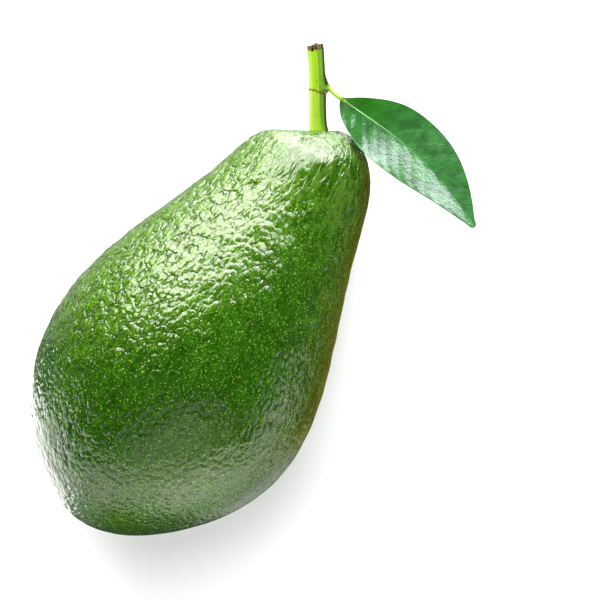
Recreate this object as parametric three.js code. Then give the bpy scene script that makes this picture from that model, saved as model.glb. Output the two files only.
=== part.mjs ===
// An avocado picked with its stem and one leaf, lying on its side as it comes to rest.
// Millimetres, +Z up. The origin is the middle of the small flat spot that the fruit rests on, and +Y
// runs along the fruit from the blossom end toward the neck, where the stem and the leaf are.

import * as THREE from "three";
import { mergeVertices } from "three/addons/utils/BufferGeometryUtils.js";

// ---- Fruit: driving dimensions --------------------------------------------------------------------
// The skin is a row of rings around a core line. Before the fruit is laid down, the core line starts at
// the blossom end, runs along +Y and bends sideways at the neck.

const BLOSSOM_PLACE = new THREE.Vector3(7.7, -46.8, 44.25); // blossom end, over the rest spot
const DIP = 12.5; // degrees that the neck end lies lower, as the heavy belly rests
const CORE_LINE = [[0, 0, 0], [-13.5, 34.6, 0], [-5.8, 109.2, 0], [-15.5, 115.8, 1.5]];
const GIRTHS = [37.0, 38.7, 39.6, 29.8, 22.3, 21.5, 16.8]; // fullness every 30 degrees from blossom to stem
const DIMPLE_DEPTH = 3.6; // hollow that the stem stands in
const DIMPLE_RADIUS = 4.2;
const BLOSSOM_PIT_DEPTH = 0.5;
const BLOSSOM_PIT_RADIUS = 1.6;
const PEBBLE_HEIGHT = 0.16; // low swells of the skin
const PEBBLE_SPACING = 9;
const PEBBLE_CLEARANCE = 4; // the swells fade out this high over the rest spot
const SKIN_DETAIL = 22; // splits of each icosahedron edge

// ---- Stem: driving dimensions ---------------------------------------------------------------------

const STEM_LINE = [[-6.4, 65.6, 20.8], [-9.3, 67.5, 21.4], [-14.4, 76.8, 25.9], [-20.8, 83.6, 30.6]];
const FOOT_RADIUS = 2.3;
const END_RADIUS = 2.0;
const FOOT_FLARE = 0.15; // the stem widens where it enters the dimple
const END_FLARE = 0.15; // and a little at its torn end
const FLARE_LENGTH = 3;
const SCAR_DISTANCE = 12.1; // scar ring, from the foot
const SCAR_SWELL = 0.12;
const SCAR_LENGTH = 0.9;
const CUSHION_DISTANCE = 13.9; // cushion that the leaf stalk stands on, at the right side
const CUSHION_SWELL = 0.65;
const CUSHION_LENGTH = 1.7;
const FURROW_DEPTH = 0.08;
const FURROW_COUNT = 7;
const TORN_DEPTH = 0.35; // unevenness of the torn end
const TORN_TEETH = 5;
const STEM_RINGS = 40;
const STEM_SIDES = 28;

// ---- Leaf: driving dimensions ---------------------------------------------------------------------

const STALK_LINE = [[-11.1, 76.6, 26.3], [-9.9, 76.3, 27.1], [-8.5, 76.0, 27.7], [-7.4, 76.1, 28.0]];
const MIDRIB_LINE = [[-7.4, 76.1, 28.0], [0.7, 75.2, 27.2], [18.2, 78.4, 28.5], [39.2, 67.8, 36.0]];
const STALK_RADIUS = 0.6;
const FAR_HALF = { width: 9.2, lean: 1.17, fullness: 0.91, wavePhase: 2.0 };
const NEAR_HALF = { width: 9.8, lean: 1.03, fullness: 0.75, wavePhase: 0.0 }; // the half beside the fruit
const BLADE_THICKNESS = 0.7;
const BLADE_START = 0.04; // the stalk flattens into the blade over this share of the midrib
const BLADE_ROLL = 20; // degrees that the near half is turned up about the midrib
const ROLL_START = 0.25; // the blade reaches its full roll at this share
const TIP_RADIUS = 1; // roundness of the tip
const TIP_LENGTH = 0.014; // share of the midrib that the round tip takes
const BLADE_END = 0.998; // the tip is cut blunt here
const EDGE_SQUARENESS = 8; // 2 is a round section, more is a flat one
const MIDRIB_RADIUS = 0.5;
const FOLD_RISE = 0.16; // rise of the blade halves from the midrib, per millimetre
const EDGE_WAVE = 0.3;
const EDGE_WAVES = 2.5; // waves along each edge
const BLADE_STATIONS = 44;
const STALK_STATIONS = 8;
const LEAF_COLUMNS = 16;

// ---- Shared geometry ------------------------------------------------------------------------------

const UP = new THREE.Vector3(0, 0, 1);

function curveOf(places) {
  return new THREE.CubicBezierCurve3(...places.map((place) => new THREE.Vector3(...place)));
}

// The two directions across a line: to its left and upward, level unless they are rolled about the line
function frameAcross(tangent, roll) {
  const left = new THREE.Vector3().crossVectors(UP, tangent).normalize();
  left.applyAxisAngle(tangent, roll);
  const over = new THREE.Vector3().crossVectors(tangent, left);
  return { left, over };
}

// A point beside a line, given by how far it lies to the left of the line and over it
function pointBeside(line, share, leftward, upward, roll = 0) {
  const { left, over } = frameAcross(line.getTangent(share), roll);
  return line.getPoint(share).addScaledVector(left, leftward).addScaledVector(over, upward);
}

function bell(distance, width) {
  return Math.exp(-((distance / width) ** 2));
}

function middleOf(points) {
  const sum = points.reduce((total, point) => total.add(point), new THREE.Vector3());
  return sum.divideScalar(points.length);
}

// Closed body through a row of rings that have the same number of points
function loft(rings) {
  const count = rings[0].length;
  const last = (rings.length - 1) * count;
  const points = [...rings.flat(), middleOf(rings[0]), middleOf(rings.at(-1))];
  const [startMiddle, endMiddle] = [points.length - 2, points.length - 1];
  const triangles = [];
  for (let step = 0; step < count; step++) {
    const next = (step + 1) % count;
    for (let ring = 0; ring < last; ring += count) {
      triangles.push(ring + step, ring + next, ring + next + count);
      triangles.push(ring + step, ring + next + count, ring + step + count);
    }
    triangles.push(startMiddle, next, step);
    triangles.push(endMiddle, last + step, last + next);
  }
  return new THREE.BufferGeometry().setFromPoints(points).setIndex(triangles);
}

function namedMesh(name, geometry, color, roughness) {
  geometry.computeVertexNormals();
  const look = new THREE.MeshStandardMaterial({ color, roughness, metalness: 0 });
  const mesh = new THREE.Mesh(geometry, look);
  mesh.name = name;
  return mesh;
}

// ---- Fruit ----------------------------------------------------------------------------------------

const coreLine = curveOf(CORE_LINE);
const layDown = new THREE.Matrix4()
  .makeRotationX(-THREE.MathUtils.degToRad(DIP))
  .setPosition(BLOSSOM_PLACE);

// Fullness at an angle from the blossom end: the smooth curve through all the girths
function fullness(angle) {
  const last = GIRTHS.length - 1;
  let weighted = 0;
  let weights = 0;
  for (let station = 0; station <= last; station++) {
    const gap = Math.cos(angle) - Math.cos((Math.PI * station) / last);
    if (Math.abs(gap) < 1e-9) return GIRTHS[station];
    const endShare = station === 0 || station === last ? 0.5 : 1;
    const weight = (endShare * (-1) ** station) / gap;
    weighted += weight * GIRTHS[station];
    weights += weight;
  }
  return weighted / weights;
}

// How far the dimple or the blossom pit moves the skin along the core line
function endHollow(along, radius) {
  if (along > 0.5) return -DIMPLE_DEPTH * bell(radius, DIMPLE_RADIUS);
  return BLOSSOM_PIT_DEPTH * bell(radius, BLOSSOM_PIT_RADIUS);
}

// Height of the low swells of the skin at a point
function pebbling(point) {
  const [x, y, z] = point.toArray().map((along) => (2 * Math.PI * along) / PEBBLE_SPACING);
  const swell = Math.sin(x) * Math.cos(y) + Math.sin(y) * Math.cos(z) + Math.sin(z) * Math.cos(x);
  return PEBBLE_HEIGHT * swell;
}

// A point of the fruit as it lies, from its share along the core line, its turn around it and its radius
function fruitPoint(along, turn, radius) {
  const hollow = coreLine.getTangent(along).multiplyScalar(endHollow(along, radius));
  const point = pointBeside(coreLine, along, radius * Math.cos(turn), radius * Math.sin(turn));
  return point.add(hollow).applyMatrix4(layDown);
}

// Where a direction from the middle of a unit ball lands on the skin
function skinPoint(direction) {
  const angle = Math.acos(THREE.MathUtils.clamp(-direction.y, -1, 1));
  const turn = Math.atan2(direction.z, -direction.x);
  const along = (1 - Math.cos(angle)) / 2;
  const radius = Math.sin(angle) * fullness(angle);
  const smooth = fruitPoint(along, turn, radius);
  const fade = Math.sin(angle) * THREE.MathUtils.smoothstep(smooth.z, 0, PEBBLE_CLEARANCE);
  const skin = fruitPoint(along, turn, radius + fade * pebbling(smooth));
  skin.z = Math.max(skin.z, 0); // the skin is pressed flat where it carries the fruit
  return skin;
}

function makeFruit() {
  const ball = new THREE.IcosahedronGeometry(1, SKIN_DETAIL);
  ball.deleteAttribute("normal");
  ball.deleteAttribute("uv");
  const skin = mergeVertices(ball, 1e-5);
  const places = skin.attributes.position;
  for (let index = 0; index < places.count; index++) {
    const direction = new THREE.Vector3().fromBufferAttribute(places, index).normalize();
    places.setXYZ(index, ...skinPoint(direction));
  }
  return namedMesh("fruit", skin, "#35631b", 0.3);
}

// ---- Stem -----------------------------------------------------------------------------------------

// Radius of the stem at a distance from its foot and a turn from its left side; the leaf is on the right
function stemRadius(distance, turn, length) {
  const taper = THREE.MathUtils.lerp(FOOT_RADIUS, END_RADIUS, distance / length);
  const foot = FOOT_FLARE * bell(distance, FLARE_LENGTH);
  const end = END_FLARE * bell(length - distance, FLARE_LENGTH);
  const scar = SCAR_SWELL * bell(distance - SCAR_DISTANCE, SCAR_LENGTH);
  const rightward = Math.max(0, -Math.cos(turn)) ** 2;
  const cushion = CUSHION_SWELL * rightward * bell(distance - CUSHION_DISTANCE, CUSHION_LENGTH);
  const furrow = FURROW_DEPTH * Math.cos(FURROW_COUNT * turn);
  return taper + foot + end + scar + cushion + furrow;
}

// Points around the stem at a share of its length, 1 at the torn end
function stemRing(line, lengthShare) {
  const length = line.getLength();
  const share = line.getUtoTmapping(lengthShare);
  const tangent = line.getTangent(share);
  const tornDepth = lengthShare === 1 ? TORN_DEPTH : 0;
  return Array.from({ length: STEM_SIDES }, (_, step) => {
    const turn = (2 * Math.PI * step) / STEM_SIDES;
    const radius = stemRadius(lengthShare * length, turn, length);
    const point = pointBeside(line, share, radius * Math.cos(turn), radius * Math.sin(turn));
    return point.addScaledVector(tangent, tornDepth * Math.sin(TORN_TEETH * turn));
  });
}

function makeStem() {
  const line = curveOf(STEM_LINE);
  const rings = Array.from({ length: STEM_RINGS + 1 }, (_, ring) => stemRing(line, ring / STEM_RINGS));
  return namedMesh("stem", loft(rings), "#8fae2e", 0.45);
}

// ---- Leaf -----------------------------------------------------------------------------------------

// Half width of the blade at a share of its midrib: full near the stalk and drawn out to a round tip
function halfWidth(half, share) {
  const drawnOut = half.width * Math.sin(Math.PI * share ** half.lean) ** half.fullness;
  const tipShare = Math.min(1, (1 - share) / TIP_LENGTH);
  const tip = TIP_RADIUS * share * Math.sqrt(1 - (1 - tipShare) ** 2);
  return (drawnOut ** 4 + tip ** 4) ** 0.25;
}

// Height of the blade over its midrib line: the halves fold up from it and their edges wave
function bladeRise(half, share, across) {
  const fold = FOLD_RISE * (Math.hypot(across, MIDRIB_RADIUS) - MIDRIB_RADIUS);
  const wave = Math.sin(half.wavePhase + 2 * Math.PI * EDGE_WAVES * share);
  return fold + EDGE_WAVE * (across / half.width) ** 2 * wave;
}

// Points around the leaf at a share of its stalk or, where flatness is over 0, of its midrib
function leafRing(line, share, flatness) {
  const squareness = THREE.MathUtils.lerp(2, EDGE_SQUARENESS, flatness);
  const fullRoll = -THREE.MathUtils.degToRad(BLADE_ROLL);
  const roll = flatness > 0 ? fullRoll * THREE.MathUtils.smoothstep(share, 0, ROLL_START) : 0;
  const thickness = THREE.MathUtils.lerp(STALK_RADIUS, BLADE_THICKNESS / 2, flatness);
  return Array.from({ length: 2 * LEAF_COLUMNS }, (_, column) => {
    const turn = (Math.PI * column) / LEAF_COLUMNS;
    const half = Math.cos(turn) > 0 ? FAR_HALF : NEAR_HALF;
    const width = flatness > 0 ? Math.max(halfWidth(half, share), STALK_RADIUS) : STALK_RADIUS;
    const across = width * Math.cos(turn);
    const edge = (1 - Math.abs(Math.cos(turn)) ** squareness) ** (1 / squareness);
    const rib = flatness * (MIDRIB_RADIUS - BLADE_THICKNESS / 4) * bell(across, 2 * MIDRIB_RADIUS);
    const skin = column < LEAF_COLUMNS ? thickness * edge : -(thickness + rib) * edge;
    return pointBeside(line, share, across, skin + flatness * bladeRise(half, share, across), roll);
  });
}

function makeLeaf() {
  const stalk = curveOf(STALK_LINE);
  const midrib = curveOf(MIDRIB_LINE);
  const rings = [];
  for (let station = 0; station < STALK_STATIONS; station++) {
    rings.push(leafRing(stalk, station / STALK_STATIONS, 0));
  }
  for (let station = 1; station <= BLADE_STATIONS; station++) {
    const share = (BLADE_END * (1 - Math.cos((Math.PI * station) / BLADE_STATIONS))) / 2;
    rings.push(leafRing(midrib, share, THREE.MathUtils.smoothstep(share, 0, BLADE_START)));
  }
  return namedMesh("leaf", loft(rings), "#3f7d35", 0.4);
}

// ---- The whole avocado ----------------------------------------------------------------------------

const avocado = new THREE.Group();
avocado.add(makeFruit(), makeStem(), makeLeaf());

export default avocado;
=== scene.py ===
"""An avocado with its stem and one leaf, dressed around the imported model.

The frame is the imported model's own: the origin is the middle of the spot that the fruit rests on, +Y runs
toward the neck and +Z is up. The shapes are worked out in millimetres. The sizes in the panel, the finished
pieces and the studio are in metres.
"""

from math import cos, pi, radians, sin, tan

import bpy
import numpy as np
from bpy.props import FloatProperty, FloatVectorProperty, PointerProperty
from bpy.types import Operator, Panel, PropertyGroup
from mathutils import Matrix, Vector, noise


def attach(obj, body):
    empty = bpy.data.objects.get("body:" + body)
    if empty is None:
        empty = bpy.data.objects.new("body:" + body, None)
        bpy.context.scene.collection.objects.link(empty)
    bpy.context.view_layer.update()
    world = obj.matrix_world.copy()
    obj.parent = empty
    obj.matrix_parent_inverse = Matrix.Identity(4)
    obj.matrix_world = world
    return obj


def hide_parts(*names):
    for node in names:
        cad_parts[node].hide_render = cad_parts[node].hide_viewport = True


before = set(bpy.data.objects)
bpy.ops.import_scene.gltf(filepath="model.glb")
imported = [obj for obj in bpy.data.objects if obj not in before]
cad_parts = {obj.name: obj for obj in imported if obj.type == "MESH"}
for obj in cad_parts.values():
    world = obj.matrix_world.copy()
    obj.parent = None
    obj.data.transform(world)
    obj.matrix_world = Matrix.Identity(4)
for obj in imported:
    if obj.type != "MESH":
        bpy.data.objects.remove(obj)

bl_info = {
    "name": "Avocado",
    "version": (1, 0, 0),
    "blender": (4, 5, 0),
    "location": "View3D > Sidebar > Avocado",
    "description": "Makes an avocado with its stem and leaf, and a plain studio around it",
    "category": "Add Mesh",
}

MM = 0.001

# The fruit's form, as in the part's source
BLOSSOM_PLACE = (7.7, -46.8, 44.25)  # blossom end, over the rest spot
DIP = 12.5  # degrees that the neck end lies lower
CORE_LINE = ((0, 0, 0), (-13.5, 34.6, 0), (-5.8, 109.2, 0), (-15.5, 115.8, 1.5))
GIRTHS = (37.0, 38.7, 39.6, 29.8, 22.3, 21.5, 16.8)  # fullness every 30 degrees from blossom to stem
DIMPLE_DEPTH = 3.6
DIMPLE_RADIUS = 4.2
BLOSSOM_PIT_DEPTH = 0.5
BLOSSOM_PIT_RADIUS = 1.6
SWELL_HEIGHT = 0.06
SWELL_SPACING = 9.0
REST_CLEARANCE = 4.0  # the relief is whole from this high over the rest spot, and fades out below

# How the skin's points and its relief are laid out
HEXAGON_ROW = 0.87  # distance between rows of evenly spaced points, over the distance between points
CURVE_STEPS = 400  # steps in which a curve is measured
PROFILE_STEPS = 4000  # steps in which the fruit's profile is measured
NECK_STRETCH = 0.26  # how the pebbles lengthen toward the neck: the more, the longer
RIDGE_DRAW = 0.1  # how the ridges are drawn out along the fruit: the less, the longer
BROAD_RIDGES = 0.6  # ridges for each ridge spacing, in the mesh and in the material
FINE_RIDGES = 0.5
DOME_STEEPNESS = 4.5
STEM_REACH = (48, 8)  # distances from the stem at which the neck's finish starts and is full

# The stem's form, as in the part's source
STEM_LINE = ((-6.4, 65.6, 20.8), (-9.3, 67.5, 21.4), (-14.4, 76.8, 25.9), (-20.8, 83.6, 30.6))
FOOT_RADIUS = 2.3
END_RADIUS = 2.0
FOOT_FLARE = 0.15
END_FLARE = 0.15
FLARE_LENGTH = 3.0
SCAR_DISTANCE = 12.1
SCAR_SWELL = 0.12
SCAR_LENGTH = 0.9
CUSHION_DISTANCE = 13.9
CUSHION_SWELL = 0.65
CUSHION_LENGTH = 1.7
# The foot on the cushion that the leaf's stalk joins
STALK_FOOT = {"distance": 13.0, "turn": radians(162.7), "height": 1.25, "width": 0.85}
FURROW_DEPTH = 0.08
FURROW_COUNT = 7

# The stem's finer forms, in this scene alone
END_SLANT = 1.5  # how much further back the torn end lies on the underside
SLANT_LENGTH = 4
STREAKS = {"spacing": 2.2, "draw": 0.15, "seed": 3.0}  # drawn out along the stem as the fruit's ridges are
GRAIN = {"spacing": 1.1, "draw": 0.4, "seed": 9.0}
RING_BACK = 0.62  # how far before the scar's middle its dark ring lies, and how the ring slants
RING_SLANT = (0.95, 1.23)
# The raised middle of the torn end, whose place is a share of the end's radius
TORN_MIDDLE = {"place": 0.3, "height": 1.0, "width": 0.9, "unevenness": 0.35, "spacing": 0.8, "seed": 5.0}

# The leaf's form, as in the part's source
STALK_LINE = ((-11.1, 76.6, 26.3), (-9.9, 76.3, 27.1), (-8.5, 76.0, 27.7), (-7.4, 76.1, 28.0))
MIDRIB_LINE = ((-7.4, 76.1, 28.0), (0.7, 75.2, 27.2), (18.2, 78.4, 28.5), (39.2, 67.8, 36.0))
STALK_RADIUS = 0.7  # a little fuller than the part's own
FAR_HALF = {"width": 9.2, "lean": 1.17, "fullness": 0.91, "wave_phase": 2.0}
NEAR_HALF = {"width": 9.8, "lean": 1.03, "fullness": 0.75, "wave_phase": 0.0}
BLADE_START = 0.04
BLADE_ROLL = 20  # degrees that the near half is turned up about the midrib
ROLL_START = 0.25
TIP_RADIUS = 1.0
TIP_LENGTH = 0.014
BLADE_END = 0.9995
EDGE_SQUARENESS = 8
MIDRIB_RADIUS = 0.5
FOLD_RISE = 0.16
EDGE_WAVE = 0.3
EDGE_WAVES = 2.5

# The leaf's finer forms, in this scene alone
BASE_LEAN = 0.13  # slope by which the gloss takes the near half's base to be turned up less
TIP_LEAN = 0.4  # the tip's slope, as a share of the base's
VEIN_SWEEP = (0.55, 0.035)  # how a side vein runs toward the tip on its way out, and how it bends
VEIN_SLANT = 0.85  # distance across a side vein, over the same distance along the midrib
VEIN_WIDTH = 0.16
VEIN_RIB = 0.08  # how far a side vein stands out on the underside
NEAR_OFFSET = 0.45  # the near half's veins start this share of a spacing away from the far half's
PILLOW_WIDTH = 1.1  # the blade sinks toward a side vein from this far
MIDRIB_WIDTH = 0.12
MIDRIB_HEIGHT = 0.06
RIB_WIDTH = 0.6  # the midrib on the underside
RIB_HEIGHT = 0.45

# The camera looks straight down, with the view's top turned from +Y toward -X
CAMERA_TURN = radians(35)
CAMERA_PLACE = (0.0137, 0.0277, 0.54)
VIEW_RIGHT = Vector((cos(CAMERA_TURN), sin(CAMERA_TURN), 0))
VIEW_UP = Vector((-sin(CAMERA_TURN), cos(CAMERA_TURN), 0))
FRUIT_MIDDLE = Vector((0, 0.01, 0.035))

# Parts of the skin, picked by the way that they face: that direction, as its parts toward the view's right,
# its top and the camera, and the dot products with it where the part starts and where it is full
FACINGS = {
    # The side toward the window is painted lighter and yellower, as painted light where the window's light
    # falls.
    "painted light side": ((-0.25, 1.94, 0.66), 0.9, 1.85),
    "upper left": ((-0.71, 0.71, 0), 0.3, 0.8),
    "low front": ((0.25, -0.65, 0.65), 0.7, 0.93),
    "off the low end": ((0, 1, 0), -0.7, -0.2),
    "low end": ((0, 1, 0), -0.7, -0.95),
    "creased": ((-0.8, 0.6, 0), -0.25, 0.6),
    "pitted": ((0.65, -0.45, 0.6), 0.8, 0.98),
    "left rim": ((-0.95, -0.3, 0), 0.5, 0.95),
    "right": ((1, 0, 0), 0.6, 0.98),
    "right rim": ((0.99, -0.14, 0), 0.82, 0.98),
}
RIM_FACING = (0.5, 0.0)  # how far the skin faces up where the painted light of the whole rim starts and where it is full
BELLY_WAY = (-0.62, -0.1, 0.78)  # the way that the calmer belly faces
BELLY_REACH = 0.15  # fall of the dot product with it over which the belly ends
SMOOTH_PLACE = (-7.0, 58.9, 39.2)  # the skin lies smoother around here, beside the stem
SMOOTH_RADIUS = 8.5
SHOULDER_SLOPE = 0.14  # extra slope of the skin there, toward the stem

# Soft patterns of the reliefs and the materials: scale per metre, detail, roughness, and the values of the
# noise that count as 0 and as 1
PATTERNS = {
    "uneven pebbles": (230.0, 1.0, 0.5, 0.3, 0.7),
    "uneven grains": (330.0, 1.0, 0.5, 0.3, 0.7),
    "open creases": (420.0, 1.0, 0.5, 0.38, 0.58),
    "skin patches": (130.0, 3.0, 0.6, 0.32, 0.68),
    "skin speckle": (1500.0, 1.0, 0.5, 0.35, 0.65),
    "stem flecks": (1400.0, 1.0, 0.5, 0.6, 0.72),
    "bark blotches": (900.0, 3.0, 0.5, 0.4, 0.6),
    "leaf patches": (300.0, 5.0, 0.65, 0.35, 0.65),
}
CREASE_DRAW = (1, 1, 0.75)  # the creases run a little longer along the fruit
CREASE_BEND = (600.0, 0.0013)  # bends of the creases for each metre, and how far they reach
CREASE_WIDTH = 0.15
PAINTED_LIGHT_BLOTCHES = (90.0, 0.4)  # scale per metre of the blotches in the painted light, and how strong they are
SKIN_TOOTH = (2600.0, 0.004)  # scale per metre of the finest relief, and its height in millimetres
LEAF_TOOTH = (900.0, 0.075)
RIDGE_WIDTH = 0.1
DOT_SIZES = (0.14, 0.4)  # as a share of a dot's cell
DOT_EDGE = (-0.12, 0.06)
SPECK_EDGE = (0.022, 0.04)  # where a speck is whole and where it ends, as a share of its cell
SKIN_ROUGHNESS = (0.12, 0.18)
STEM_ROUGHNESS = (0.5, 0.85)  # where it is green, and on the bark
NET_SCALE = 1100.0  # cells of the leaf's finest veins, per metre


# ---- Sizes and colours that a user would change ----


def length(name, description, default):
    return FloatProperty(name=name, description=description, default=default, min=0, unit="LENGTH",
                         precision=5)


def colour(name, description, default):
    return FloatVectorProperty(name=name, description=description, default=default, size=3, subtype="COLOR",
                               min=0, max=1)


class AvocadoFruit(PropertyGroup):
    mesh_size: length("Mesh size", "Distance between neighbouring points of the skin", 0.00052)
    pebble_size: length("Pebble size", "Width of one pebble of the skin", 0.0023)
    pebble_height: length("Pebble height", "How far the pebbles stand out", 0.00008)
    grain_size: length("Grain size", "Width of one grain of the finer relief on the pebbles", 0.0014)
    grain_height: length("Grain height", "How far the grains stand out", 0.00007)
    ridge_spacing: length("Ridge spacing", "Distance between the ridges that run down from the stem", 0.001)
    ridge_height: length("Ridge height", "How far the ridges near the stem stand out", 0.00015)
    crease_spacing: length("Crease spacing", "Distance between the creases of the skin", 0.0022)
    crease_depth: length("Crease depth", "How far the creases sink in", 0.00023)
    dot_spacing: length("Dot spacing", "Size of the cells that hold one dot each", 0.00043)
    speck_spacing: length("Speck spacing", "Size of the cells that hold one corky speck each", 0.009)
    green: colour("Skin green", "Main colour of the skin", (0.018, 0.083, 0.0012))
    # Deep green also paints shade into the hollows between pebbles, into the creases and onto the shaded
    # rims.
    deep_green: colour("Deep green", "Darker patches and creases of the skin", (0.008, 0.046, 0.0004))
    # Painted light: this lighter, yellower green is laid where the light falls, on the side toward the
    # window, along the rim and on the low front.
    painted_light_green: colour("Sunny green", "Colour of the side that faced the sun", (0.064, 0.15, 0.003))
    dot_green: colour("Dot green", "Colour of the small dots", (0.16, 0.31, 0.035))
    speck_brown: colour("Speck brown", "Colour of the corky specks", (0.03, 0.016, 0.006))


class AvocadoStem(PropertyGroup):
    green: colour("Stem green", "Colour of the fresh stem", (0.36, 0.63, 0.022))
    # Streak green also paints the shade on the stem's right side.
    deep_green: colour("Streak green", "Colour of the streaks along the stem", (0.15, 0.32, 0.018))
    # Pale green is partly the stem's own colour and partly painted light, on the left side beside the fruit.
    pale_green: colour("Pale green", "Colour of the stem's part beside the fruit", (0.46, 0.63, 0.065))
    bark: colour("Bark", "Colour of the torn end and of the lines around the scars", (0.04, 0.016, 0.005))
    scar_tan: colour("Scar tan", "Colour of the scar's inside and of the torn end's rim", (0.27, 0.15, 0.075))


class AvocadoLeaf(PropertyGroup):
    thickness: length("Blade thickness", "Thickness of the leaf blade", 0.00045)
    vein_spacing: length("Vein spacing", "Distance between side veins along the midrib", 0.0044)
    vein_depth: length("Vein depth", "How far the side veins sink into the upper side", 0.00006)
    green: colour("Leaf green", "Main colour of the upper side", (0.014, 0.08, 0.0125))
    fresh_green: colour("Fresh green", "Colour of the upper side near the stalk", (0.009, 0.08, 0.0025))
    # Vein green also paints the highlight along the near half's edge.
    vein_green: colour("Vein green", "Colour of the midrib and the veins", (0.24, 0.42, 0.16))
    stalk_green: colour("Stalk green", "Colour of the leaf's stalk", (0.27, 0.5, 0.04))
    under_green: colour("Underside green", "Colour of the lower side", (0.07, 0.20, 0.06))


class AvocadoStudio(PropertyGroup):
    floor_colour: colour("Floor", "Colour of the floor", (0.86, 0.86, 0.86))
    brightness: FloatProperty(name="Brightness", description="Strength of all the lights together",
                              default=1.0, min=0)


# ---- Shared helpers ----


def step_between(low, high, value):
    """Smooth step from 0 at low to 1 at high."""
    share = np.clip((value - low) / (high - low), 0, 1)
    return share * share * (3 - 2 * share)


def bell(distance, width):
    return np.exp(-((distance / width) ** 2))


def unit(vectors):
    return vectors / np.linalg.norm(vectors, axis=-1, keepdims=True)


def view_way(right, up, over):
    """A direction, from its parts toward the view's right, its top and the camera."""
    return np.array(right * VIEW_RIGHT + up * VIEW_UP + Vector((0, 0, over)))


def along_curve(handles, share):
    """Places on a cubic curve, with the curve's direction and the directions to its left and over it."""
    start, leave, arrive, end = np.array(handles, float)
    s = np.asarray(share, float)[:, None]
    r = 1 - s
    place = r**3 * start + 3 * r**2 * s * leave + 3 * r * s**2 * arrive + s**3 * end
    heading = unit(r**2 * (leave - start) + 2 * r * s * (arrive - leave) + s**2 * (end - arrive))
    left = unit(np.cross((0, 0, 1), heading))
    return place, heading, left, np.cross(heading, left)


def even_shares(handles, count):
    """Shares of a curve that cut it into pieces of equal length, and its whole length."""
    fine = np.linspace(0, 1, CURVE_STEPS)
    place = along_curve(handles, fine)[0]
    walked = np.concatenate([[0], np.cumsum(np.linalg.norm(np.diff(place, axis=0), axis=1))])
    return np.interp(np.linspace(0, walked[-1], count), walked, fine), walked[-1]


def loft_faces(rings, around):
    """Four-sided faces of a row of closed rings, and one face over each end."""
    ring, step = np.meshgrid(np.arange(rings - 1), np.arange(around), indexing="ij")
    here = ring * around + step
    ahead = ring * around + (step + 1) % around
    faces = np.stack([here, ahead, ahead + around, here + around], -1).reshape(-1, 4).tolist()
    first = list(range(around))[::-1]
    last = list(range((rings - 1) * around, rings * around))
    return faces + [first, last]


def make_object(name, points, faces):
    mesh = bpy.data.meshes.new(name)
    mesh.from_pydata(np.asarray(points).tolist(), [], faces)
    mesh.shade_smooth()
    piece = bpy.data.objects.new(name, mesh)
    bpy.context.scene.collection.objects.link(piece)
    return piece


def store(piece, name, values):
    """Keeps a number or a vector for every point of a piece, for its relief and its material to read."""
    values = np.asarray(values, np.float32)
    kind, field = ("FLOAT_VECTOR", "vector") if values.ndim == 2 else ("FLOAT", "value")
    piece.data.attributes.new(name, kind, "POINT").data.foreach_set(field, values.ravel())


def settle(piece):
    """Makes the result of a piece's modifiers its own plain mesh."""
    graph = bpy.context.evaluated_depsgraph_get()
    plain = bpy.data.meshes.new_from_object(piece.evaluated_get(graph), preserve_all_data_layers=True,
                                            depsgraph=graph)
    piece.modifiers.clear()
    piece.data = plain


# ---- Node trees ----


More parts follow.
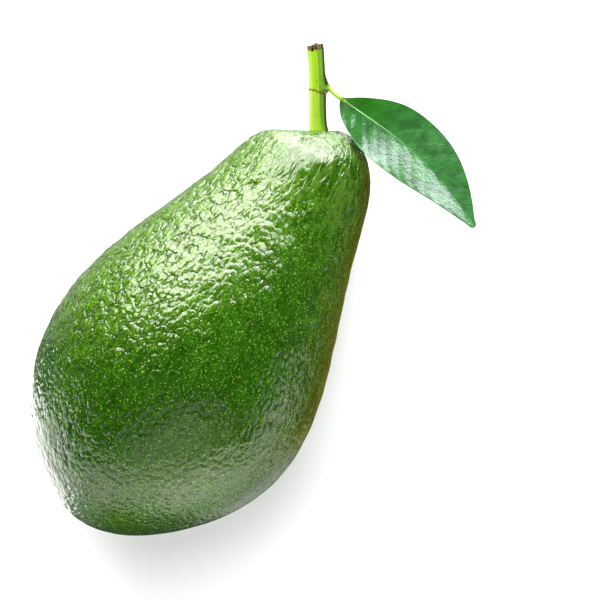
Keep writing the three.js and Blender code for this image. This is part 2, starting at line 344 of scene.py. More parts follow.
class Tree:
    """Adds nodes to a node tree. A socket given as an input is linked, anything else is set, and a colour is
    given as its three parts."""

    def __init__(self, tree):
        self.tree = tree

    def add(self, kind, inputs=None, **settings):
        node = self.tree.nodes.new(kind)
        for name, value in settings.items():
            setattr(node, name, value)
        for name, value in (inputs or {}).items():
            self.give(node.inputs[name], value)
        return node

    def give(self, socket, value):
        if isinstance(value, bpy.types.NodeSocket):
            self.tree.links.new(value, socket)
        else:
            socket.default_value = (*value, 1.0) if socket.type == "RGBA" else value

    def math(self, operation, first, second=0.0, third=0.0):
        node = self.add("ShaderNodeMath", {0: first, 1: second, 2: third}, operation=operation)
        return node.outputs[0]

    def times(self, first, second):
        return self.math("MULTIPLY", first, second)

    def times_plus(self, first, second, third):
        return self.math("MULTIPLY_ADD", first, second, third)

    def minus(self, first, second):
        return self.math("SUBTRACT", first, second)

    def vector_math(self, operation, first, second):
        node = self.add("ShaderNodeVectorMath", {0: first, 1: second}, operation=operation)
        return node.outputs["Value" if operation == "DOT_PRODUCT" else "Vector"]

    def scaled(self, vector, factor):
        node = self.add("ShaderNodeVectorMath", {0: vector, "Scale": factor}, operation="SCALE")
        return node.outputs[0]

    def smooth(self, value, low, high, to_low=0.0, to_high=1.0):
        """A value taken smoothly from one range to another."""
        node = self.add("ShaderNodeMapRange", {"Value": value, "From Min": low, "From Max": high,
                                               "To Min": to_low, "To Max": to_high},
                        interpolation_type="SMOOTHSTEP")
        return node.outputs["Result"]

    def bent(self, vector, scale, amount):
        """A vector shifted smoothly this way and that."""
        waves = self.add("ShaderNodeTexNoise", {"Vector": vector, "Scale": scale, "Detail": 1.0})
        centred = self.vector_math("SUBTRACT", waves.outputs["Color"], (0.5, 0.5, 0.5))
        return self.vector_math("ADD", vector, self.scaled(centred, amount))

    def noise(self, vector, scale, detail=2.0, roughness=0.5):
        node = self.add("ShaderNodeTexNoise", {"Vector": vector, "Scale": scale, "Detail": detail,
                                               "Roughness": roughness})
        return node.outputs[0]

    def pattern(self, name, vector, to_low=0.0, to_high=1.0):
        """One of the soft patterns."""
        scale, detail, roughness, low, high = PATTERNS[name]
        return self.smooth(self.noise(vector, scale, detail, roughness), low, high, to_low, to_high)

    def mix(self, share, first, second):
        """Two colours mixed."""
        node = self.add("ShaderNodeMix", data_type="RGBA")
        for place, value in ((0, share), (6, first), (7, second)):
            self.give(node.inputs[place], value)
        return node.outputs[2]

    def finish(self, shader, colour_here, roughness, height, strength=1.0, distance=MM):
        """Gives a shader its colour, its roughness and its fine relief."""
        bump = self.add("ShaderNodeBump", {"Strength": strength, "Distance": distance, "Height": height})
        self.give(shader.inputs["Base Color"], colour_here)
        self.give(shader.inputs["Normal"], bump.outputs[0])
        self.give(shader.inputs["Roughness"], roughness)


def toned(rgb, factor):
    """A colour made darker or lighter."""
    return [factor * part for part in rgb]


def new_material(name):
    """An empty material with its shader, and the tree to add nodes to."""
    material = bpy.data.materials.new(name)
    material.use_nodes = True
    tree = Tree(material.node_tree)
    shader = material.node_tree.nodes["Principled BSDF"]
    return material, tree, shader


def object_places(tree):
    return tree.add("ShaderNodeTexCoord").outputs["Object"]


def stored(tree, name):
    """A number kept on the piece's points."""
    return tree.add("ShaderNodeAttribute", attribute_name=name).outputs["Fac"]


# ---- Fruit ----


def fullness(angle):
    """Fullness at an angle from the blossom end: the smooth curve through all the girths."""
    last = len(GIRTHS) - 1
    station = np.arange(last + 1)
    weight = (-1.0) ** station * np.where((station == 0) | (station == last), 0.5, 1)
    gap = np.cos(angle)[:, None] - np.cos(pi * station / last)
    weight = weight / np.where(np.abs(gap) < 1e-9, 1e-9, gap)
    return (weight * GIRTHS).sum(1) / weight.sum(1)


def fruit_points(along, turn, radius):
    """Points of the fruit as it lies, by the share along the core line, the turn around it and the radius."""
    place, heading, left, over = along_curve(CORE_LINE, along)
    dimple = -DIMPLE_DEPTH * bell(radius, DIMPLE_RADIUS)
    pit = BLOSSOM_PIT_DEPTH * bell(radius, BLOSSOM_PIT_RADIUS)
    hollow = np.where(along > 0.5, dimple, pit)[:, None]
    outward = np.cos(turn)[:, None] * left + np.sin(turn)[:, None] * over
    x, y, z = (place + heading * hollow + outward * radius[:, None]).T
    dip = radians(DIP)
    laid = np.stack([x, y * cos(dip) + z * sin(dip), z * cos(dip) - y * sin(dip)], -1)
    return laid + BLOSSOM_PLACE


def swells(points):
    """Height of the broad low swells of the skin at some points."""
    x, y, z = (2 * pi / SWELL_SPACING * points).T
    return SWELL_HEIGHT * (np.sin(x) * np.cos(y) + np.sin(y) * np.cos(z) + np.sin(z) * np.cos(x))


def skin_rings(mesh_size):
    """Rings of evenly spaced points: each point's angle from the blossom end and its turn, and how many
    points each ring has."""
    angle = np.linspace(0, pi, PROFILE_STEPS)
    radius = np.sin(angle) * fullness(angle)
    middle = along_curve(CORE_LINE, (1 - np.cos(angle)) / 2)[0]
    step = np.hypot(np.linalg.norm(np.diff(middle, axis=0), axis=1), np.diff(radius))
    walked = np.concatenate([[0], np.cumsum(step)])
    rings = round(walked[-1] / (mesh_size * HEXAGON_ROW))
    ring_angle = np.interp(np.linspace(0, walked[-1], rings + 1), walked, angle)
    girth = 2 * pi * np.sin(ring_angle) * fullness(ring_angle)
    counts = np.maximum(6, np.round(girth / mesh_size)).astype(int)
    counts[[0, -1]] = 1
    turns = np.concatenate([2 * pi * np.arange(count) / count for count in counts])
    return np.repeat(ring_angle, counts), turns, counts


def ring_faces(counts):
    """Triangles between neighbouring rings of points, which may hold different numbers of points."""
    faces = []
    start = 0
    for here, ahead in zip(counts[:-1], counts[1:]):
        near, far = start, start + here
        step = np.arange(here)
        partner = np.ceil(ahead * (step + 0.5) / here - 0.5).astype(int) % ahead
        if here > 1:
            faces.append(np.stack([near + step, near + (step + 1) % here, far + partner], -1))
        step = np.arange(ahead)
        partner = np.floor(here * (step + 0.5) / ahead + 0.5).astype(int) % here
        if ahead > 1:
            faces.append(np.stack([far + step, near + partner, far + (step + 1) % ahead], -1))
        start += here
    return np.concatenate(faces).tolist()


def skin_marks(smooth, outward, from_stem):
    """What the skin's relief and its material follow, as a number for each point."""

    def facing(part):
        way, start, full = FACINGS[part]
        return step_between(start, full, outward @ view_way(*way))

    smoother = bell(np.linalg.norm(smooth - SMOOTH_PLACE, axis=1), SMOOTH_RADIUS)
    near_stem = step_between(*STEM_REACH, from_stem)
    # Painted light: the side toward the window, the rim but for its low end, and the low front are painted a
    # lighter, yellower green, less so in the smooth place beside the stem.
    rim = facing("off the low end") * (0.5 + 0.4 * facing("upper left"))
    painted_light_share = (facing("painted light side") + 0.2 * near_stem) * (1 - 0.8 * smoother)
    painted_light_share = np.maximum(painted_light_share, step_between(*RIM_FACING, outward[:, 2]) * rim)
    creased = 0.15 + 1.05 * facing("creased")
    creased = creased * (1 - 0.3 * bell(outward @ view_way(*BELLY_WAY) - 1, BELLY_REACH))
    creased = np.maximum(creased, 0.5 * facing("pitted"))
    toward_stem = (smooth - SMOOTH_PLACE) @ np.array(VIEW_UP)
    return {
        "painted_light_share": np.maximum(painted_light_share, 0.45 * facing("low front")),
        "creased": creased * (1 - 0.6 * facing("left rim")),
        # Painted shade: the right rim and the low end are painted darker, as shade.
        "painted_shade": np.maximum(facing("right rim"), 0.9 * facing("low end")),
        "ridged": np.maximum(near_stem, 0.15 + 0.5 * facing("right")),
        "near_stem": near_stem,
        "calm": 1 - 0.85 * smoother,
        "shoulder": -SHOULDER_SLOPE * toward_stem * smoother,
    }


def fruit_skin(mesh_size):
    """The smooth skin as a mesh object, with what its relief and its material need kept on the points."""
    angle, turn, counts = skin_rings(mesh_size / MM)
    along = (1 - np.cos(angle)) / 2
    radius = np.sin(angle) * fullness(angle)
    smooth = fruit_points(along, turn, radius)
    clear = step_between(0, REST_CLEARANCE, smooth[:, 2])
    skin = fruit_points(along, turn, radius + clear * np.sin(angle) * swells(smooth))
    skin[:, 2] = np.maximum(skin[:, 2], 0)
    fruit = make_object("avocado_fruit", skin * MM, ring_faces(counts))

    fine, whole = even_shares(CORE_LINE, CURVE_STEPS)
    walked = np.interp(along, fine, np.linspace(0, whole, CURVE_STEPS))
    drawn_out = walked * (1 - NECK_STRETCH * (walked / whole) ** 2)
    for name, over in (("grain", drawn_out), ("rays", RIDGE_DRAW * walked)):
        store(fruit, name, np.stack([radius * np.cos(turn), radius * np.sin(turn), over], -1) * MM)
    store(fruit, "clear", clear)
    outward = np.empty(3 * len(skin), np.float32)
    fruit.data.vertex_normals.foreach_get("vector", outward)
    for name, values in skin_marks(smooth, outward.reshape(-1, 3), whole - walked).items():
        store(fruit, name, values)
    return fruit


def domes(tree, place, size, softness=0.0):
    """Height of rounded pebbles of a size: 1 on their tops, and under 0 between them."""
    feature = "SMOOTH_F1" if softness else "F1"
    cells = tree.add("ShaderNodeTexVoronoi", {"Vector": place, "Scale": tree.math("DIVIDE", 1.0, size)},
                     feature=feature)
    if softness:
        cells.inputs["Smoothness"].default_value = softness
    distance = cells.outputs["Distance"]
    return tree.times_plus(tree.times(distance, distance), -DOME_STEEPNESS, 1.0)


def skin_relief_tree():
    """Geometry nodes that raise pebbles all over a skin, and ridges near the stem."""
    group = bpy.data.node_groups.new("Skin relief", "GeometryNodeTree")
    group.interface.new_socket("Geometry", in_out="INPUT", socket_type="NodeSocketGeometry")
    for name in ("Pebble Size", "Pebble Height", "Ridge Spacing", "Ridge Height"):
        group.interface.new_socket(name, in_out="INPUT", socket_type="NodeSocketFloat")
    group.interface.new_socket("Material", in_out="INPUT", socket_type="NodeSocketMaterial")
    group.interface.new_socket("Geometry", in_out="OUTPUT", socket_type="NodeSocketGeometry")
    tree = Tree(group)
    given = tree.add("NodeGroupInput").outputs

    def kept(name, data_type="FLOAT"):
        return tree.add("GeometryNodeInputNamedAttribute", {"Name": name}, data_type=data_type).outputs[0]

    grain = kept("grain", "FLOAT_VECTOR")
    pebble = domes(tree, grain, given["Pebble Size"], softness=0.3)
    uneven = tree.pattern("uneven pebbles", grain, 0.4, 1.4)
    height = tree.times(tree.times(pebble, uneven), given["Pebble Height"])
    height = tree.times(height, kept("creased"))
    rays = kept("rays", "FLOAT_VECTOR")
    ridges = tree.noise(rays, tree.math("DIVIDE", BROAD_RIDGES, given["Ridge Spacing"]), detail=1.0)
    ridges = tree.times(tree.minus(ridges, 0.5), kept("near_stem"))
    height = tree.times_plus(ridges, tree.times(given["Ridge Height"], 3.0), height)
    height = tree.times(height, tree.times(kept("clear"), kept("calm")))

    offset = tree.scaled(tree.add("GeometryNodeInputNormal").outputs[0], height)
    moved = tree.add("GeometryNodeSetPosition", {"Geometry": given["Geometry"], "Offset": offset})
    real = tree.add("GeometryNodeRealizeInstances", {"Geometry": moved.outputs[0]})
    dressed = tree.add("GeometryNodeSetMaterial", {"Geometry": real.outputs[0],
                                                   "Material": given["Material"]})
    tree.add("NodeGroupOutput", {"Geometry": dressed.outputs[0]})
    return group


def run_tree(piece, group, **inputs):
    """Runs a geometry node tree on a piece and keeps the result as its mesh."""
    modifier = piece.modifiers.new(group.name, "NODES")
    modifier.node_group = group
    sockets = {item.name: item.identifier for item in group.interface.items_tree if item.in_out == "INPUT"}
    for name, value in inputs.items():
        modifier[sockets[name.replace("_", " ").title()]] = value
    settle(piece)


def fine_skin_relief(tree, place, sizes):
    """Height in millimetres of the grains, the creases, the ridges and the shoulder's slope, and where the
    grains, the creases and the ridges are."""
    grain = tree.add("ShaderNodeAttribute", attribute_name="grain").outputs["Vector"]
    rays = tree.add("ShaderNodeAttribute", attribute_name="rays").outputs["Vector"]
    near_stem = stored(tree, "near_stem")
    creased = tree.times(stored(tree, "creased"), tree.smooth(near_stem, 0.45, 1.0, 1.0, 0.7))

    dome = domes(tree, grain, sizes.grain_size)
    uneven = tree.pattern("uneven grains", place, 0.4, 1.3)
    height = tree.times(tree.times(dome, uneven), sizes.grain_height / MM)
    height = tree.times(height, tree.smooth(creased, 0.0, 1.0, 0.6, 1.0))

    drawn_out = tree.vector_math("MULTIPLY", grain, CREASE_DRAW)
    edges = tree.add("ShaderNodeTexVoronoi", {"Vector": tree.bent(drawn_out, *CREASE_BEND),
                                              "Scale": 1 / sizes.crease_spacing}, feature="DISTANCE_TO_EDGE")
    crease = tree.smooth(edges.outputs["Distance"], 0.0, CREASE_WIDTH, 1.0, 0.0)
    crease = tree.times(crease, tree.times(tree.pattern("open creases", place), creased))
    depth = tree.smooth(creased, 0.3, 1.1, 0.3, 1.0)
    height = tree.times_plus(tree.times(crease, depth), -sizes.crease_depth / MM, height)

    wavy = tree.minus(tree.noise(rays, FINE_RIDGES / sizes.ridge_spacing), 0.5)
    ridges = tree.smooth(tree.math("ABSOLUTE", wavy), 0.0, RIDGE_WIDTH, 1.0, 0.0)
    ridges = tree.times(ridges, stored(tree, "ridged"))
    height = tree.times_plus(ridges, sizes.ridge_height / MM, height)
    height = tree.times_plus(height, stored(tree, "calm"), stored(tree, "shoulder"))
    height = tree.times_plus(tree.noise(place, SKIN_TOOTH[0]), SKIN_TOOTH[1], height)
    return height, dome, crease, ridges


def skin_material(sizes):
    material, tree, shader = new_material("avocado skin")
    place = object_places(tree)
    height, dome, crease, ridges = fine_skin_relief(tree, place, sizes)

    cells = tree.add("ShaderNodeTexVoronoi", {"Vector": place, "Scale": 1 / sizes.dot_spacing})
    picked = tree.add("ShaderNodeSeparateColor", {"Color": cells.outputs["Color"]}).outputs
    dot_size = tree.smooth(picked[0], 0.0, 1.0, *DOT_SIZES)
    dots = tree.smooth(tree.minus(cells.outputs["Distance"], dot_size), *DOT_EDGE, 1.0, 0.0)
    dots = tree.times(dots, tree.smooth(picked[1], 0.1, 1.0, 0.1, 1.0))
    dots = tree.times(dots, tree.smooth(stored(tree, "near_stem"), 0.5, 1.0, 1.0, 0.35))

    patches = tree.pattern("skin patches", place)
    speckle = tree.pattern("skin speckle", place)
    # Painted light: a lighter, yellower green where the light falls.
    painted_light_share = tree.minus(stored(tree, "painted_light_share"), 0.2)
    painted_light_share = tree.times_plus(tree.noise(place, PAINTED_LIGHT_BLOTCHES[0]), PAINTED_LIGHT_BLOTCHES[1], painted_light_share)
    green = tree.mix(patches, sizes.deep_green, sizes.green)
    green = tree.mix(painted_light_share, green, sizes.painted_light_green)
    # The deep green made darker: for the speckle, which is the skin's own, and for painted shade in the
    # hollows, the creases and on the shaded rims.
    darker = toned(sizes.deep_green, 0.5)
    green = tree.mix(tree.times(speckle, 0.65), green, darker)
    # Painted shade: darker in the hollows between the pebbles and in the creases.
    green = tree.mix(tree.smooth(dome, -1.0, 0.2, 0.3, 0.0), green, darker)
    green = tree.mix(tree.times(crease, 0.5), green, darker)
    # Painted shade: the right rim and the low end painted darker.
    green = tree.mix(tree.times(stored(tree, "painted_shade"), 0.8), green, darker)
    # The ridges are painted paler: partly pale lines of the skin, partly a painted highlight along them.
    green = tree.mix(tree.times(ridges, 0.35), green, toned(sizes.dot_green, 0.6))
    green = tree.mix(dots, green, sizes.dot_green)
    corky = tree.add("ShaderNodeTexVoronoi", {"Vector": place, "Scale": 1 / sizes.speck_spacing})
    corky = tree.smooth(corky.outputs["Distance"], *SPECK_EDGE, 0.9, 0.0)
    green = tree.mix(corky, green, sizes.speck_brown)

    tree.finish(shader, green, tree.smooth(patches, 0.0, 1.0, *SKIN_ROUGHNESS), height)
    shader.inputs["IOR"].default_value = 1.42
    shader.inputs["Specular Tint"].default_value = (1.0, 0.955, 0.885, 1.0)
    return material


class AVOCADO_OT_fruit(Operator):
    """Makes the fruit: its pear-shaped body with pebbled skin"""

    bl_idname = "avocado.fruit"
    bl_label = "Make the fruit"

    def execute(self, context):
        sizes = context.scene.avocado_fruit
        fruit = fruit_skin(sizes.mesh_size)
        run_tree(fruit, skin_relief_tree(), pebble_size=sizes.pebble_size, pebble_height=sizes.pebble_height,
                 ridge_spacing=sizes.ridge_spacing, ridge_height=sizes.ridge_height,
                 material=skin_material(sizes))
        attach(fruit, "root")
        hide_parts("fruit")
        return {"FINISHED"}


# ---- Stem ----


def rough(points, spacing, seed):
    """Smooth random heights, from -1 to 1, at some points in millimetres."""
    return np.array([noise.noise(Vector(point) / spacing + Vector((seed, 0, 0))) for point in points])


def streaked(points, pattern):
    """Smooth random heights that are drawn out along the stem."""
    return rough(points * (1, 1, pattern["draw"]), pattern["spacing"], pattern["seed"])


def stem_points(rings, around):
    """Rings of points from the stem's foot to its torn end, the end's direction, and how much each point
    belongs to the bark, to the tan scars and to the shade mark, which holds the streaks, the painted shade of
    the stem's right side and right edge, and the paler left side beside the fruit, partly its own colour and
    partly painted light."""
    share, whole = even_shares(STEM_LINE, rings)
    place, heading, left, over = along_curve(STEM_LINE, share)
    turn = 2 * pi * np.arange(around) / around
    walked, turn = np.meshgrid(np.linspace(0, whole, rings), turn, indexing="ij")
    rightward = np.maximum(0, -np.cos(turn)) ** 2
    side = 0.5 - 0.5 * np.cos(turn)
    radius = FOOT_RADIUS + (END_RADIUS - FOOT_RADIUS) * walked / whole
    radius += FOOT_FLARE * bell(walked, FLARE_LENGTH) + END_FLARE * bell(whole - walked, FLARE_LENGTH)
    radius += SCAR_SWELL * bell(walked - SCAR_DISTANCE, SCAR_LENGTH)
    radius += CUSHION_SWELL * rightward * bell(walked - CUSHION_DISTANCE, CUSHION_LENGTH)
    radius += FURROW_DEPTH * np.cos(FURROW_COUNT * turn)
    aside = 2 * END_RADIUS * np.sin((turn - STALK_FOOT["turn"]) / 2)
    foot = bell(np.hypot(aside, walked - STALK_FOOT["distance"]), STALK_FOOT["width"])
    radius += STALK_FOOT["height"] * foot

    tube = np.stack([8 * np.cos(turn), 8 * np.sin(turn), walked], -1).reshape(-1, 3)
    streaks = streaked(tube, STREAKS).reshape(turn.shape)
    grain = streaked(tube, GRAIN).reshape(turn.shape)
    slant = RING_SLANT[0] * np.cos(turn) + RING_SLANT[1] * np.sin(turn)
    from_ring = walked - (SCAR_DISTANCE - RING_BACK + slant + 0.25 * grain)
    from_end = whole - walked
    ring = bell(from_ring, 0.24 + 0.08 * streaks)
    patch = rightward * bell(from_ring - 0.55, 0.7) * (1 + 0.8 * grain)
    torn_edge = from_end + 0.6 * grain + 0.3 * streaks
    torn = step_between(1.4, 1.1, torn_edge)
    patch_edge = bell(patch - 0.3, 0.12)
    bark = np.clip(np.maximum(torn, np.maximum(ring, patch_edge)), 0, 1)
    rim = bell(torn_edge - 0.65, 0.35) * step_between(-0.3, 0.1, streaks + grain)
    tan_share = np.clip(np.maximum(step_between(0.35, 0.6, patch), rim), 0, 1)
    tan_share = np.maximum(tan_share, 0.3 * ring)
    lower = step_between(0.3, -0.3, from_ring)
    # Painted shade: the right side is painted a deeper green and its right edge near black; the streaks are
    # the stem's own. Below the ring the left side is painted paler, partly the stem's own colour there and
    # partly painted light.
    shade = np.clip(step_between(0.3, 0.85, side) + 0.9 * streaks + 0.1, 0, 1)
    shade = shade + step_between(0.78, 0.93, side)
    shade = np.where(shade < 1, shade - lower * step_between(0.8, 0.3, side), shade)
    radius += 0.05 * streaks + 0.03 * grain + 0.08 * ring - 0.1 * torn * (0.5 + grain)

    outward = np.cos(turn)[..., None] * left[:, None] + np.sin(turn)[..., None] * over[:, None]
    points = place[:, None] + outward * radius[..., None]
    back = END_SLANT * (0.5 - 0.5 * np.sin(turn)) * step_between(SLANT_LENGTH, 0, from_end)
    points -= heading[:, None] * back[..., None]
    return points, heading[-1], {"bark": bark, "tan": tan_share, "shade": shade * (1 - foot)}


class AVOCADO_OT_stem(Operator):
    """Makes the stem, with its scar and its torn end"""

    bl_idname = "avocado.stem"
    bl_label = "Make the stem"

    def execute(self, context):
        sizes = context.scene.avocado_stem
        rings, around, steps = 220, 96, 9
        points, heading, marks = stem_points(rings, around)
        end = points[-1]
        middle = end.mean(0)
        peak = middle + TORN_MIDDLE["place"] * np.array(VIEW_UP) * END_RADIUS
        torn = [points.reshape(-1, 3)]
        for step in range(1, steps):
            inward = step / steps
            ring = end + (middle - end) * inward
            raised = min(1, 3 * inward) * bell(np.linalg.norm(ring - peak, axis=1), TORN_MIDDLE["width"])
            uneven = rough(ring, TORN_MIDDLE["spacing"], TORN_MIDDLE["seed"])
            rise = TORN_MIDDLE["unevenness"] * uneven + TORN_MIDDLE["height"] * raised
            torn.append(ring + heading * rise[:, None])
        faces = loft_faces(rings + steps - 1, around)
        stem = make_object("avocado_stem", np.concatenate(torn) * MM, faces)
        for name, on_face in (("bark", 0.7), ("tan", 0.0), ("shade", 1.6)):
            torn_values = np.full((steps - 1) * around, on_face)
            store(stem, name, np.concatenate([marks[name].ravel(), torn_values]))
        stem.data.materials.append(stem_material(sizes))
        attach(stem, "root")
        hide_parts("stem")
        return {"FINISHED"}


def stem_material(sizes):
    material, tree, shader = new_material("avocado stem")
    place = object_places(tree)
    shade = stored(tree, "shade")
    # The shade mark: deep green for the streaks and the painted shade of the right side, pale green for the
    # paler left side beside the fruit, and near black for the painted shade of the right edge; the torn face
    # takes its own dark olive from it.
    green = tree.mix(tree.smooth(shade, 0.0, 1.0), sizes.green, sizes.deep_green)
    green = tree.mix(tree.smooth(shade, -1.0, 0.0, 1.0, 0.0), green, sizes.pale_green)
    green = tree.mix(tree.smooth(shade, 1.0, 2.0), green, toned(sizes.deep_green, 0.12))
    green = tree.mix(tree.pattern("stem flecks", place, 0.0, 0.22), green, sizes.bark)
    blotches = tree.pattern("bark blotches", place)
    brown = tree.mix(blotches, toned(sizes.bark, 0.2), toned(sizes.bark, 1.6))
    colour_here = tree.mix(stored(tree, "bark"), green, brown)
    colour_here = tree.mix(stored(tree, "tan"), colour_here, sizes.scar_tan)
    fine = tree.noise(place, 2200.0, detail=3.0)
    roughness = tree.smooth(stored(tree, "bark"), 0.0, 1.0, *STEM_ROUGHNESS)
    tree.finish(shader, colour_here, roughness, fine, strength=0.5, distance=0.1 * MM)
    shader.inputs["IOR"].default_value = 1.25
    return material


# ---- Leaf ----


def half_width(half, share):
    """Half width of the blade at shares of its midrib: full near the stalk and drawn out to a round tip."""
    drawn_out = half["width"] * np.sin(pi * share ** half["lean"]) ** half["fullness"]
    tip_share = np.minimum(1, (1 - share) / TIP_LENGTH)
    tip = TIP_RADIUS * share * np.sqrt(1 - (1 - tip_share) ** 2)
    return (drawn_out**4 + tip**4) ** 0.25


def leaf_surface(handles, share, flat, sizes, columns):
    """Rings of points around the leaf at shares of its stalk, or of its midrib where flat is over 0, and what
    the leaf's material follows, as a number for each point."""
    place, heading, left, over = along_curve(handles, share)
    roll = (radians(BLADE_ROLL) * step_between(0, ROLL_START, share) * (flat > 0))[:, None]
    left, over = left * np.cos(roll) - over * np.sin(roll), over * np.cos(roll) + left * np.sin(roll)
    turn = pi * np.arange(2 * columns) / columns
    v = np.cos(turn)
    v = v * np.sqrt(np.abs(v))  # closer columns along the midrib
    upper = np.arange(2 * columns) < columns
    far = v > 0
    share, flat = share[:, None], flat[:, None]
    width = np.where(far, half_width(FAR_HALF, share), half_width(NEAR_HALF, share))
    width = np.where(flat > 0, np.maximum(width, STALK_RADIUS * (1 - share)), STALK_RADIUS)
    across = width * v
    spread = np.abs(across)
    squareness = 2 + (EDGE_SQUARENESS - 2) * flat
    thickness = STALK_RADIUS + (sizes.thickness / MM / 2 - STALK_RADIUS) * flat
    edge = (1 - np.abs(v) ** squareness) ** (1 / squareness)

    spacing = sizes.vein_spacing / MM
    walked = share * even_shares(MIDRIB_LINE, 2)[1]
    order = (walked - VEIN_SWEEP[0] * spread - VEIN_SWEEP[1] * spread**2) / spacing
    order = order + np.where(far, 0.0, NEAR_OFFSET)
    off_vein = np.abs(order - np.round(order)) * spacing * VEIN_SLANT
    in_blade = flat * step_between(0.1, 1.0, spread)
    in_blade = in_blade * step_between(0.0, 0.12, 1 - spread / np.maximum(width, 0.1))
    vein = bell(off_vein, VEIN_WIDTH) * in_blade
    pillow = (bell(off_vein, PILLOW_WIDTH) - 0.4) * in_blade * np.where(far, 0.25, 3.2 - 2.7 * share)
    midrib = bell(across, MIDRIB_WIDTH * (1.3 - share)) * step_between(0.85, 0.1, share)

    half_full = np.where(far, FAR_HALF["width"], NEAR_HALF["width"])
    phase = np.where(far, FAR_HALF["wave_phase"], NEAR_HALF["wave_phase"])
    wave = EDGE_WAVE * (across / half_full) ** 2 * np.sin(phase + 2 * pi * EDGE_WAVES * share)
    rise = flat * (FOLD_RISE * (np.hypot(across, MIDRIB_RADIUS) - MIDRIB_RADIUS) + wave)
    rise = rise - sizes.vein_depth / MM * (0.5 * vein + pillow)
    top = thickness * edge + MIDRIB_HEIGHT * flat * midrib * edge
    rib = RIB_HEIGHT * bell(across, RIB_WIDTH * (1.25 - share)) * (1.2 - share)
    rib = flat * (rib + VEIN_RIB * vein) * edge
    lift = np.where(upper, top, -thickness * edge - rib) + rise
    points = place[:, None] + left[:, None] * across[..., None] + over[:, None] * lift[..., None]

    pale = np.maximum(0.75 * midrib, np.where(far, 0.03, 0.08) * vein) * flat
    pale = np.maximum(pale, 0.1 * step_between(0.2, 0.04, share) * flat)
    leant = step_between(0.6, 0.25, share) * step_between(-0.3, 0.2, share)
    leant = leant + TIP_LEAN * step_between(0.85, 1.0, share)
    stalk = 1 - step_between(0.0, 0.6, flat) * step_between(0.2, 0.9, spread / STALK_RADIUS)
    fresh = np.where(far, step_between(0.6, 0.1, share), 0.2 * step_between(0.3, 0.1, share))
    marks = {
        "pale": pale,
        "stalk": stalk * step_between(0.09, 0.01, share) * (flat > 0) + (flat == 0),
        "under": np.where(upper, 0.0, 1.0) * flat,
        # 1 along the near half's edge for its painted highlight, -1 along the far half's edge for its painted
        # shade
        "rim": step_between(0.96, 1.0, np.abs(v)) * flat * np.where(far, -1, 1),
        "matt": np.where(upper, 0.25 - 0.09 * step_between(0.5, 0.15, share) * flat, 0.6),
        "fresh": fresh * flat,
        "lean": np.where(far, 0.0, -BASE_LEAN * spread * leant) * flat,
    }
    return points, marks


class AVOCADO_OT_leaf(Operator):
    """Makes the leaf, with its stalk, midrib and side veins"""

    bl_idname = "avocado.leaf"
    bl_label = "Make the leaf"

    def execute(self, context):
        sizes = context.scene.avocado_leaf
        columns, stalk_rings, blade_rings = 72, 40, 320
        stalk_share = np.linspace(0, 1, stalk_rings, endpoint=False)
        blade_share = BLADE_END * (1 - np.cos(pi * np.arange(1, blade_rings + 1) / blade_rings)) / 2
        flat = step_between(0, BLADE_START, blade_share)
        stalk, stalk_marks = leaf_surface(STALK_LINE, stalk_share, np.zeros(stalk_rings), sizes, columns)
        blade, blade_marks = leaf_surface(MIDRIB_LINE, blade_share, flat, sizes, columns)
        points = np.concatenate([stalk, blade])
        leaf = make_object("avocado_leaf", points.reshape(-1, 3) * MM, loft_faces(len(points), 2 * columns))
        for name in blade_marks:
            store(leaf, name, np.concatenate([stalk_marks[name], blade_marks[name]]).ravel())
        leaf.data.materials.append(leaf_material(sizes))
        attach(leaf, "root")
        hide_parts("leaf")
        return {"FINISHED"}


def leaf_material(sizes):
    material, tree, shader = new_material("avocado leaf")
    place = object_places(tree)
    patches = tree.pattern("leaf patches", place)
    green = tree.mix(patches, toned(sizes.green, 0.65), toned(sizes.green, 1.35))
    green = tree.mix(stored(tree, "fresh"), green, sizes.fresh_green)
    green = tree.mix(stored(tree, "under"), green, sizes.under_green)
    green = tree.mix(stored(tree, "pale"), green, sizes.vein_green)
    # Painted highlight: a paler line along the near half's edge, where the light catches its thickness.
    # Painted shade: a darker line along the far half's edge.
    near_edge_highlight = tree.smooth(stored(tree, "rim"), 0.0, 1.0, 0.0, 0.35)
    green = tree.mix(near_edge_highlight, green, sizes.vein_green)
    far_edge_shade = tree.smooth(stored(tree, "rim"), -1.0, 0.0, 0.7, 0.0)
    green = tree.mix(far_edge_shade, green, toned(sizes.green, 0.35))
    green = tree.mix(stored(tree, "stalk"), green, sizes.stalk_green)
    net = tree.add("ShaderNodeTexVoronoi", {"Vector": place, "Scale": NET_SCALE}, feature="DISTANCE_TO_EDGE")
    height = tree.smooth(net.outputs["Distance"], 0.0, 0.25, 0.0, 0.012)
    height = tree.times_plus(tree.noise(place, LEAF_TOOTH[0], detail=3.0), LEAF_TOOTH[1], height)
    height = tree.math("ADD", height, stored(tree, "lean"))
    tree.finish(shader, green, stored(tree, "matt"), height)
    shader.inputs["IOR"].default_value = 1.5
    shader.inputs["Specular Tint"].default_value = (0.88, 0.9, 1.0, 1.0)
    return material


# ---- Studio ----

# Clock, elevation, half width, half height in degrees, radiance where white is 1, distance in metres, and
# whether the gloss can see the light
SOFT_LIGHTS = (
    ("window left", -13, 24, 18, 14, 16.2, 0.55, True),
    ("window right", 26, 12, 18, 10, 15.5, 0.55, True),
    ("left panel", -112, 2, 20, 8, 2.0, 0.22, True),
    ("front panel", -172, 16, 46, 16, 3.0, 0.75, True),
    ("front fill", 168, 8, 42, 20, 1.5, 0.75, False),
    ("left fill", -46, 4, 36, 20, 2.1, 0.75, False),
    ("overhead", 0, 72, 11, 11, 12.0, 0.85, False),
)
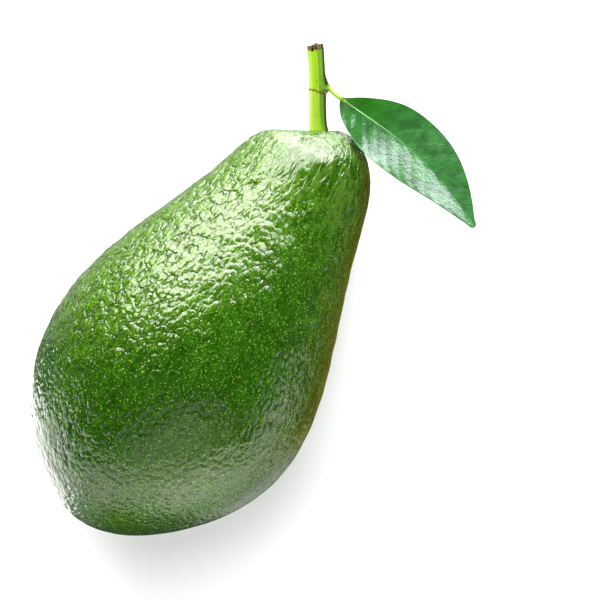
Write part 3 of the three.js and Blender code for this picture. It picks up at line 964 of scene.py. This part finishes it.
# Clock, elevation, half width, half height in degrees, and radiance
GLOWS = (
    (21, -4, 26, 13, 12.0),
    (6, -24, 24, 12, 8.6),
    (7, -44, 29, 15, 3.0),
    (-14, -3, 18, 15, 9.5),
    (-112, -48, 20, 34, 4.8),
    (-158, -6, 16, 10, 0.5),
    (-128, -5, 26, 9, 1.2),
    (-141, -30, 12, 24, 0.7),
    (-50, -52, 26, 30, 0.5),
    (138, -8, 42, 14, 3.0),
    (146, -46, 22, 26, 0.8),
    (168, 53, 52, 18, 1.4),
)
GLOW_EDGE = 6  # degrees to either side of a patch's edge over which it fades
AIR_STRENGTH = (0.06, 0.05)  # under the horizon and over it
HORIZON_EDGE = 0.2  # radians over the horizon where the air has its upper strength
WARM_PLACE = (95, -56, 33, 30)  # the patch of the air that shows yellow in the gloss
WARM_STRENGTH = 0.22
WARM_COLOUR = (1.0, 0.75, 0.12)
FLOOR_HALF = 3  # half the floor's side


def soft_light(name, clock, elevation, half_width, half_height, radiance, distance, in_gloss):
    """A soft light that faces the fruit. Clock is degrees from the view's top turning right, elevation is
    degrees over the floor, and the two halves are its size in degrees, seen from the fruit."""
    lamp = bpy.data.lights.new(name, "AREA")
    lamp.shape = "RECTANGLE"
    lamp.size = 2 * distance * tan(radians(half_width))
    lamp.size_y = 2 * distance * tan(radians(half_height))
    lamp.energy = radiance * pi * lamp.size * lamp.size_y
    light = bpy.data.objects.new(name, lamp)
    level = VIEW_UP * cos(radians(clock)) + VIEW_RIGHT * sin(radians(clock))
    toward = level * cos(radians(elevation)) + Vector((0, 0, sin(radians(elevation))))
    light.location = FRUIT_MIDDLE + toward * distance
    light.rotation_euler = toward.to_track_quat("Z", "Y").to_euler()
    light.visible_camera = False
    light.visible_glossy = in_gloss
    bpy.context.scene.collection.objects.link(light)


def seen_way(tree):
    """Clock and elevation, in radians, of the way that a ray leaves the scene."""
    way = tree.add("ShaderNodeTexCoord").outputs["Generated"]
    rightward, upward, over = (tree.vector_math("DOT_PRODUCT", way, axis)
                               for axis in (VIEW_RIGHT, VIEW_UP, (0, 0, 1)))
    return tree.math("ARCTAN2", rightward, upward), tree.math("ARCSINE", over)


def glow(tree, way, clock, elevation, half_width, half_height):
    """How far a way lies inside a soft-edged patch of the air, whose place is given as a soft light's is."""
    turned = tree.math("COSINE", tree.minus(way[0], radians(clock)))
    edges = [cos(radians(half_width + side)) for side in (GLOW_EDGE, -GLOW_EDGE)]
    across = tree.smooth(turned, *edges)
    raised = tree.math("ABSOLUTE", tree.minus(way[1], radians(elevation)))
    edges = [radians(half_height + side) for side in (-GLOW_EDGE, GLOW_EDGE)]
    along = tree.smooth(raised, *edges, 1.0, 0.0)
    return tree.times(across, along)


def studio_air(brightness):
    """The air around the scene: white to look at, and dark to the lit skin but for a few soft patches. Those
    under the horizon stand for pale walls around the fruit, and only the gloss can see them."""
    world = bpy.data.worlds.new("studio air")
    world.use_nodes = True
    tree = Tree(world.node_tree)
    way = seen_way(tree)
    strength = tree.smooth(way[1], 0.0, HORIZON_EDGE, *AIR_STRENGTH)
    for *place, radiance in GLOWS:
        strength = tree.times_plus(glow(tree, way, *place), radiance, strength)
    warm = glow(tree, way, *WARM_PLACE)
    strength = tree.times_plus(warm, WARM_STRENGTH, strength)
    looked_at = tree.add("ShaderNodeLightPath").outputs["Is Camera Ray"]
    strength = tree.math("MAXIMUM", strength, looked_at)
    air = world.node_tree.nodes["Background"]
    tree.give(air.inputs["Strength"], tree.times(strength, brightness))
    tree.give(air.inputs["Color"], tree.mix(warm, (1, 1, 1), WARM_COLOUR))
    return world


class AVOCADO_OT_studio(Operator):
    """Makes the floor, the lights and the camera"""

    bl_idname = "avocado.studio"
    bl_label = "Make the studio"

    def execute(self, context):
        sizes = context.scene.avocado_studio
        corners = [(x * FLOOR_HALF, y * FLOOR_HALF, 0) for x, y in ((-1, -1), (1, -1), (1, 1), (-1, 1))]
        floor = make_object("floor", corners, [[0, 1, 2, 3]])
        material, tree, shader = new_material("floor")
        tree.give(shader.inputs["Base Color"], sizes.floor_colour)
        shader.inputs["Roughness"].default_value = 0.6
        floor.data.materials.append(material)
        floor.visible_glossy = False

        for name, *place, radiance, distance, in_gloss in SOFT_LIGHTS:
            soft_light(name, *place, radiance * sizes.brightness, distance, in_gloss)
        context.scene.world = studio_air(sizes.brightness)

        eye = bpy.data.cameras.new("camera")
        eye.lens = 120
        eye.sensor_width = 36
        eye.clip_start = 0.01
        camera = bpy.data.objects.new("camera", eye)
        camera.location = CAMERA_PLACE
        camera.rotation_euler = (0, 0, CAMERA_TURN)
        context.scene.collection.objects.link(camera)
        context.scene.camera = camera
        context.scene.view_settings.view_transform = "Standard"
        return {"FINISHED"}


# ---- Panel and registration ----


class AVOCADO_PT_panel(Panel):
    """The avocado's sizes, colours and pieces"""

    bl_label = "Avocado"
    bl_idname = "AVOCADO_PT_panel"
    bl_space_type = "VIEW_3D"
    bl_region_type = "UI"
    bl_category = "Avocado"

    def draw(self, context):
        for key, group, operator in PIECES:
            box = self.layout.box()
            settings = getattr(context.scene, key)
            for name in group.__annotations__:
                box.prop(settings, name)
            box.operator(operator.bl_idname)


PIECES = (
    ("avocado_fruit", AvocadoFruit, AVOCADO_OT_fruit),
    ("avocado_stem", AvocadoStem, AVOCADO_OT_stem),
    ("avocado_leaf", AvocadoLeaf, AVOCADO_OT_leaf),
    ("avocado_studio", AvocadoStudio, AVOCADO_OT_studio),
)


def register():
    for key, group, operator in PIECES:
        bpy.utils.register_class(group)
        bpy.utils.register_class(operator)
        setattr(bpy.types.Scene, key, PointerProperty(type=group))
    bpy.utils.register_class(AVOCADO_PT_panel)


def unregister():
    bpy.utils.unregister_class(AVOCADO_PT_panel)
    for key, group, operator in PIECES:
        delattr(bpy.types.Scene, key)
        bpy.utils.unregister_class(operator)
        bpy.utils.unregister_class(group)


def plain(box):
    return [[round(float(number), 6) for number in corner] for corner in box]


def main():
    register()
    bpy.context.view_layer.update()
    bpy.ops.avocado.fruit()
    bpy.ops.avocado.stem()
    bpy.ops.avocado.leaf()
    bpy.ops.avocado.studio()


if __name__ == "__main__":
    main()
